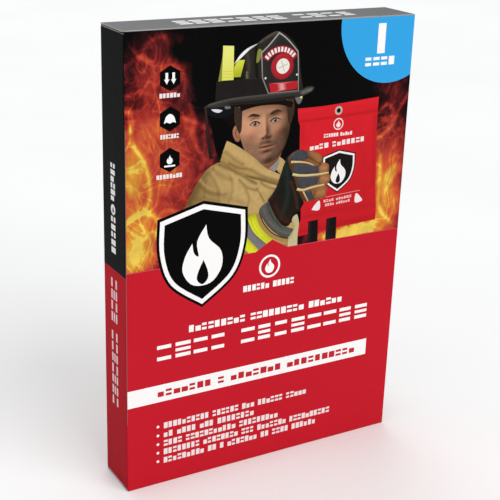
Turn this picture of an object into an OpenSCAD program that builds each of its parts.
// Retail carton with a fire blanket packed in its pouch.
// +Z up, +Y towards the back panel, origin at the middle of the carton's base. Millimetres.
// The carton is one creased board blank: each panel and flap is a node, and each crease is a hinge.
// The pouch stands on its header, with its mouth and the blanket's pull straps at the top.

/* [Carton] */
// Width of the front panel
carton_w = 165; // [160:1:200]
// Depth of the carton, front to back
carton_d = 27; // [27:1:34]
// Height of the carton
carton_h = 240; // [238:1:280]
// Thickness of the board
board = 0.6; // [0.4:0.1:0.8]
// Outer radius of the four upright corner folds
corner_r = 0.9; // [0.9:0.1:1.5]
// Width of the glued seam flap inside the back panel
glue_flap_w = 12; // [8:1:16]

/* [Flaps] */
// Length of a tuck flap from its crease
tuck_len = 13; // [10:0.5:13]
// Lean of a tucked flap into the carton, in degrees
tuck_lean = 26; // [26:0.5:34]
// Length of a dust flap from its crease
dust_len = 24; // [16:1:24]
// Gap between a dust flap and the front panel
dust_front_gap = 4.5; // [4.5:0.5:8]
// Slope of a dust flap's back edge, as run back per run out
dust_taper = 0.5; // [0.5:0.05:0.7]
// Rounding of the flaps' free corners
flap_round = 5; // [2:0.5:6]

/* [Pouch] */
// Width of the pouch over its side seams
pouch_w = 156; // [154:1:158]
// Height of the pouch from header edge to mouth
pouch_h = 196; // [194:1:198]
// Thickness of the filled pouch
pouch_d = 21; // [20.5:0.5:22]
// Thickness of the coated cloth
cloth = 0.6; // [0.4:0.1:0.7]
// Height of the flat header band
header_h = 18; // [18:1:19]
// Width of the flat seam down each side
seam_w = 4; // [3:0.5:5]
// Height of the hem round the mouth
hem_h = 12; // [8:1:14]

/* [Eyelet] */
// Radius of the hole through the eyelet
eyelet_hole_r = 4.2; // [3:0.1:4.4]
// Outer radius of the eyelet's flange
eyelet_flange_r = 6.6; // [6:0.1:6.8]

/* [Blanket] */
// Side of the square blanket when it is laid flat
blanket_cut = 1000; // [900:10:1000]
// Panels that the blanket is folded into across its width
panels_across = 7; // [7:1:8]
// Panels that the folded strip is folded into down its length
panels_down = 6; // [6:1:7]
// Thickness that one layer takes in the folded stack
layer = 0.38; // [0.3:0.01:0.38]

/* [Straps] */
// Width of the pull straps' webbing
strap_w = 25; // [20:1:30]
// Thickness of the webbing
strap_t = 1.2; // [0.8:0.1:1.2]
// Distance between the straps' centre lines
strap_pitch = 60; // [40:1:80]
// Length of strap that stands out of the blanket
strap_out = 26; // [20:1:26]

/* [Hidden] */
$fn = 48;
tiny = 0.01;

// Creases
gap = 0.1;
fold_gap = 0.55;
tuck_gap = 0.3;
crease_r = board / 2;
lid_axis_y = carton_d / 2 - crease_r;
lid_axis_z = carton_h - crease_r;
tuck_axis_y = -carton_d / 2 + board + gap + crease_r;
dust_axis_x = carton_w / 2 - crease_r;
dust_axis_z = carton_h - board - gap - crease_r;
back_top = lid_axis_z - crease_r - fold_gap;
side_top = dust_axis_z - crease_r - gap;
lid_w = carton_w - 0.4;
tuck_w = lid_w - 4;
dust_front_y = -carton_d / 2 + dust_front_gap;
dust_slant = 0.15;
dust_back_y = lid_axis_y - 1.2;

// Pouch
pouch_foot = 1.6;
pouch_mouth = pouch_foot + pouch_h;
pouch_body = pouch_foot + header_h;
shoulder_h = 5;
wall_w = pouch_w - 2 * seam_w;
wall_slope = 2.5;
header_t = 2.4;
header_hole_r = eyelet_hole_r + 0.75;
eyelet_z = pouch_foot + header_h / 2;
thread = 0.5;

// Blanket
blanket_w = blanket_cut / panels_across;
blanket_h = blanket_cut / panels_down;
blanket_d = panels_across * panels_down * layer;
blanket_foot = pouch_body + 5.4;
blanket_top = blanket_foot + blanket_h;
blanket_round = 1.2;
strap_sewn = 40;

PRINT_RED = "#c8202f";
PRINT_BLACK = "#1b1c20";
BOARD_GREY = "#8d8f90";
POUCH_RED = "#cf2027";
GLASS_WHITE = "#e6e4de";
WEBBING_BLACK = "#141414";
STEEL = "#c9c6bd";

// A point at a distance and an angle from a centre
function on_circle(centre, r, a) = centre + r * [cos(a), sin(a)];

// Corner points of a rectangle from y0 to y1 whose two far corners are rounded
function rounded_end(half_w, len, r) = concat(
    [[-half_w, 0]],
    [for (a = [180:15:270]) on_circle([-half_w + r, -len + r], r, a)],
    [for (a = [270:15:360]) on_circle([half_w - r, -len + r], r, a)],
    [[half_w, 0]]);

// ---- Carton -------------------------------------------------------------------------------

// Half of an upright corner fold: the 45 degrees of the bend next to a panel's end
module fold_half() {
    intersection() {
        difference() {
            circle(r = corner_r);
            circle(r = corner_r - board);
        }
        polygon([[0, 0], [0, -2 * corner_r], [-2 * corner_r, -2 * corner_r]]);
    }
}

// One upright wall whose outer face lies on y = -depth / 2, with half of each corner fold
module wall(width, depth, z0, z1) {
    flat = width / 2 - corner_r;
    translate([0, 0, z0]) linear_extrude(z1 - z0) {
        translate([-flat, -depth / 2]) square([2 * flat, board]);
        for (s = [0, 1]) mirror([s, 0]) translate([-flat, -depth / 2 + corner_r]) fold_half();
    }
}

module front_panel() {
    color(PRINT_RED) wall(carton_w, carton_d, 0, carton_h);
}

module back_panel() {
    color(PRINT_RED) rotate([0, 0, 180]) wall(carton_w, carton_d, carton_h - back_top, back_top);
}

module side_panel(side) {
    color(PRINT_BLACK) rotate([0, 0, side * 90])
        wall(carton_d, carton_w, carton_h - side_top, side_top);
}

module glue_flap() {
    inset = board + 0.05;
    color(BOARD_GREY)
        translate([carton_w / 2 - corner_r - glue_flap_w, carton_d / 2 - inset - board, 6])
            cube([glue_flap_w, board, carton_h - 12]);
}

// The closing panel, with a round crease along the back panel's top edge
module lid() {
    front = tuck_axis_y + crease_r + tuck_gap;
    color(PRINT_BLACK) union() {
        translate([-lid_w / 2, front, carton_h - board]) cube([lid_w, lid_axis_y - front, board]);
        translate([-lid_w / 2, lid_axis_y, lid_axis_z]) rotate([0, 90, 0]) cylinder(r = crease_r, h = lid_w);
    }
}

// The flap that tucks in behind the front panel, leaning into the carton
module tuck_flap() {
    color(PRINT_BLACK) translate([0, tuck_axis_y, lid_axis_z]) rotate([tuck_lean, 0, 0]) union() {
        rotate([90, 0, 0]) translate([0, 0, -crease_r]) linear_extrude(board)
            polygon(rounded_end(tuck_w / 2, tuck_len, flap_round));
        translate([-tuck_w / 2, 0, 0]) rotate([0, 90, 0]) cylinder(r = crease_r, h = tuck_w);
    }
}

// The small flap on the left side panel's top edge, under the lid
module dust_flap() {
    back_tip = dust_back_y - dust_taper * dust_len;
    len = dust_len - crease_r;
    r = 3;
    color(BOARD_GREY) translate([-dust_axis_x, 0, dust_axis_z]) union() {
        translate([0, 0, -crease_r]) linear_extrude(board) polygon(concat(
            [[0, dust_front_y]],
            [for (a = [270:15:360]) on_circle([len - r, dust_front_y + dust_slant * len + r], r, a)],
            [for (a = [0:15:60]) on_circle([len - r, back_tip - r + 1], r, a)],
            [[0, dust_back_y]]));
        translate([0, dust_back_y, 0]) rotate([90, 0, 0])
            cylinder(r = crease_r, h = dust_back_y - dust_front_y);
    }
}

// Draws its children at the carton's bottom end, as they are at its top end
module at_bottom() {
    translate([0, 0, carton_h]) mirror([0, 0, 1]) children();
}

module to_right() {
    mirror([1, 0, 0]) children();
}

// ---- Pouch --------------------------------------------------------------------------------

// The space on the front side of the pouch's middle plane, inset from the wall's outer face
module half_pocket(inset, open_end) {
    hull() {
        translate([-wall_w / 2 + inset, -tiny - inset / 10, pouch_body + inset])
            cube([wall_w - 2 * inset, tiny + inset / 10, pouch_mouth - pouch_body - inset + open_end]);
        translate([-wall_w / 2 + wall_slope, -pouch_d / 2 + inset, pouch_body + shoulder_h])
            cube([wall_w - 2 * wall_slope, pouch_d / 2 - inset, pouch_mouth - pouch_body - shoulder_h + open_end]);
    }
}

module pouch_wall() {
    color(POUCH_RED) union() {
        difference() {
            half_pocket(0, 0);
            half_pocket(cloth, 1);
        }
        for (x = [-pouch_w / 2, wall_w / 2 - tiny])
            translate([x, -cloth, pouch_body]) cube([seam_w + tiny, cloth - 0.02, pouch_mouth - pouch_body]);
    }
}

module pouch_header() {
    color(POUCH_RED) difference() {
        translate([-pouch_w / 2, -header_t / 2, pouch_foot]) cube([pouch_w, header_t, header_h - 0.1]);
        translate([0, 0, eyelet_z]) rotate([90, 0, 0]) cylinder(r = header_hole_r, h = 3 * header_t, center = true);
    }
}

// The doubled band of cloth on the outside of the front wall, along the mouth
module mouth_hem() {
    width = wall_w - 2 * wall_slope;
    color(POUCH_RED) translate([-width / 2, -pouch_d / 2 - cloth, pouch_mouth - hem_h])
        cube([width, cloth, hem_h]);
}

// A short tube with a rolled flange on the front face
module eyelet() {
    barrel_r = header_hole_r - 0.05;
    color(STEEL) translate([0, 0, eyelet_z]) rotate([90, 0, 0]) rotate_extrude() union() {
        translate([eyelet_hole_r, -header_t / 2 - 0.4]) square([barrel_r - eyelet_hole_r, header_t + 0.8]);
        translate([eyelet_hole_r, header_t / 2]) square([eyelet_flange_r - eyelet_hole_r, 0.5]);
        translate([(eyelet_hole_r + eyelet_flange_r) / 2, header_t / 2 + 0.5])
            intersection() {
                circle(r = 0.7);
                translate([-1, -tiny]) square([2, 1]);
            }
    }
}

module eyelet_washer() {
    color(STEEL) translate([0, header_t / 2, eyelet_z]) rotate([-90, 0, 0]) difference() {
        cylinder(r = eyelet_flange_r, h = 0.5);
        translate([0, 0, -1]) cylinder(r = header_hole_r, h = 3);
    }
}

// Rows of thread: down both side seams, along the header and along the hem
module pouch_stitching() {
    seam_x = pouch_w / 2 - seam_w / 2;
    row_w = pouch_w - 8;
    hem_row_w = wall_w - 2 * wall_slope - 4;
    color(WEBBING_BLACK) {
        for (x = [-seam_x, seam_x]) translate([x - thread / 2, -cloth - thread, pouch_body + 2])
            cube([thread, thread, pouch_h - header_h - 4]);
        for (z = [pouch_foot + 1.2, pouch_foot + header_h - 2])
            translate([-row_w / 2, -header_t / 2 - thread, z]) cube([row_w, thread, thread]);
        for (s = [0, 1]) mirror([0, s, 0])
            translate([-hem_row_w / 2, -pouch_d / 2 - cloth - thread, pouch_mouth - hem_h + 1.5])
                cube([hem_row_w, thread, thread]);
    }
}

// ---- Blanket ------------------------------------------------------------------------------

// The folded stack: one square cloth in panels_across times panels_down layers
module folded_blanket() {
    w = blanket_w / 2 - blanket_round;
    d = blanket_d / 2 - blanket_round;
    color(GLASS_WHITE) translate([0, 0, blanket_foot]) linear_extrude(blanket_h) union() {
        square([2 * w, blanket_d], center = true);
        square([blanket_w, 2 * d], center = true);
        for (x = [-w, w], y = [-d, d]) translate([x, y]) circle(r = blanket_round);
    }
}

// A webbing strap sewn to the back layer of the stack, standing up out of the mouth
module pull_strap(side) {
    color(WEBBING_BLACK)
        translate([side * strap_pitch / 2 - strap_w / 2, blanket_d / 2 + 0.05, blanket_top - strap_sewn])
            cube([strap_w, strap_t, strap_sewn + strap_out]);
}

// The box of stitches that holds each strap
module strap_stitching() {
    inset = 3;
    z0 = blanket_top - strap_sewn + inset;
    color(GLASS_WHITE) for (side = [-1, 1])
        translate([side * strap_pitch / 2, blanket_d / 2 + 0.05 + strap_t, 0]) {
            for (x = [-strap_w / 2 + inset, strap_w / 2 - inset - 0.4])
                translate([x, 0, z0]) cube([0.4, 0.3, strap_sewn - 2 * inset]);
            for (z = [z0, z0 + strap_sewn - 2 * inset - 0.4])
                translate([-strap_w / 2 + inset + 0.5, 0, z]) cube([strap_w - 2 * inset - 1, 0.3, 0.4]);
        }
}

// ---- Nodes --------------------------------------------------------------------------------

front_panel();
back_panel();
side_panel(-1);  // left_side_panel
side_panel(1);  // right_side_panel
glue_flap();
lid();  // top_lid
tuck_flap();  // top_tuck_flap
dust_flap();  // top_dust_flap_left
to_right() dust_flap();  // top_dust_flap_right
at_bottom() lid();  // bottom_lid
at_bottom() tuck_flap();  // bottom_tuck_flap
at_bottom() dust_flap();  // bottom_dust_flap_left
at_bottom() to_right() dust_flap();  // bottom_dust_flap_right
pouch_wall();  // pouch_front_wall
mirror([0, 1, 0]) pouch_wall();  // pouch_back_wall
pouch_header();
mouth_hem();  // mouth_hem_front
mirror([0, 1, 0]) mouth_hem();  // mouth_hem_back
eyelet();
eyelet_washer();
pouch_stitching();
folded_blanket();
pull_strap(-1);  // pull_strap_left
pull_strap(1);  // pull_strap_right
strap_stitching();
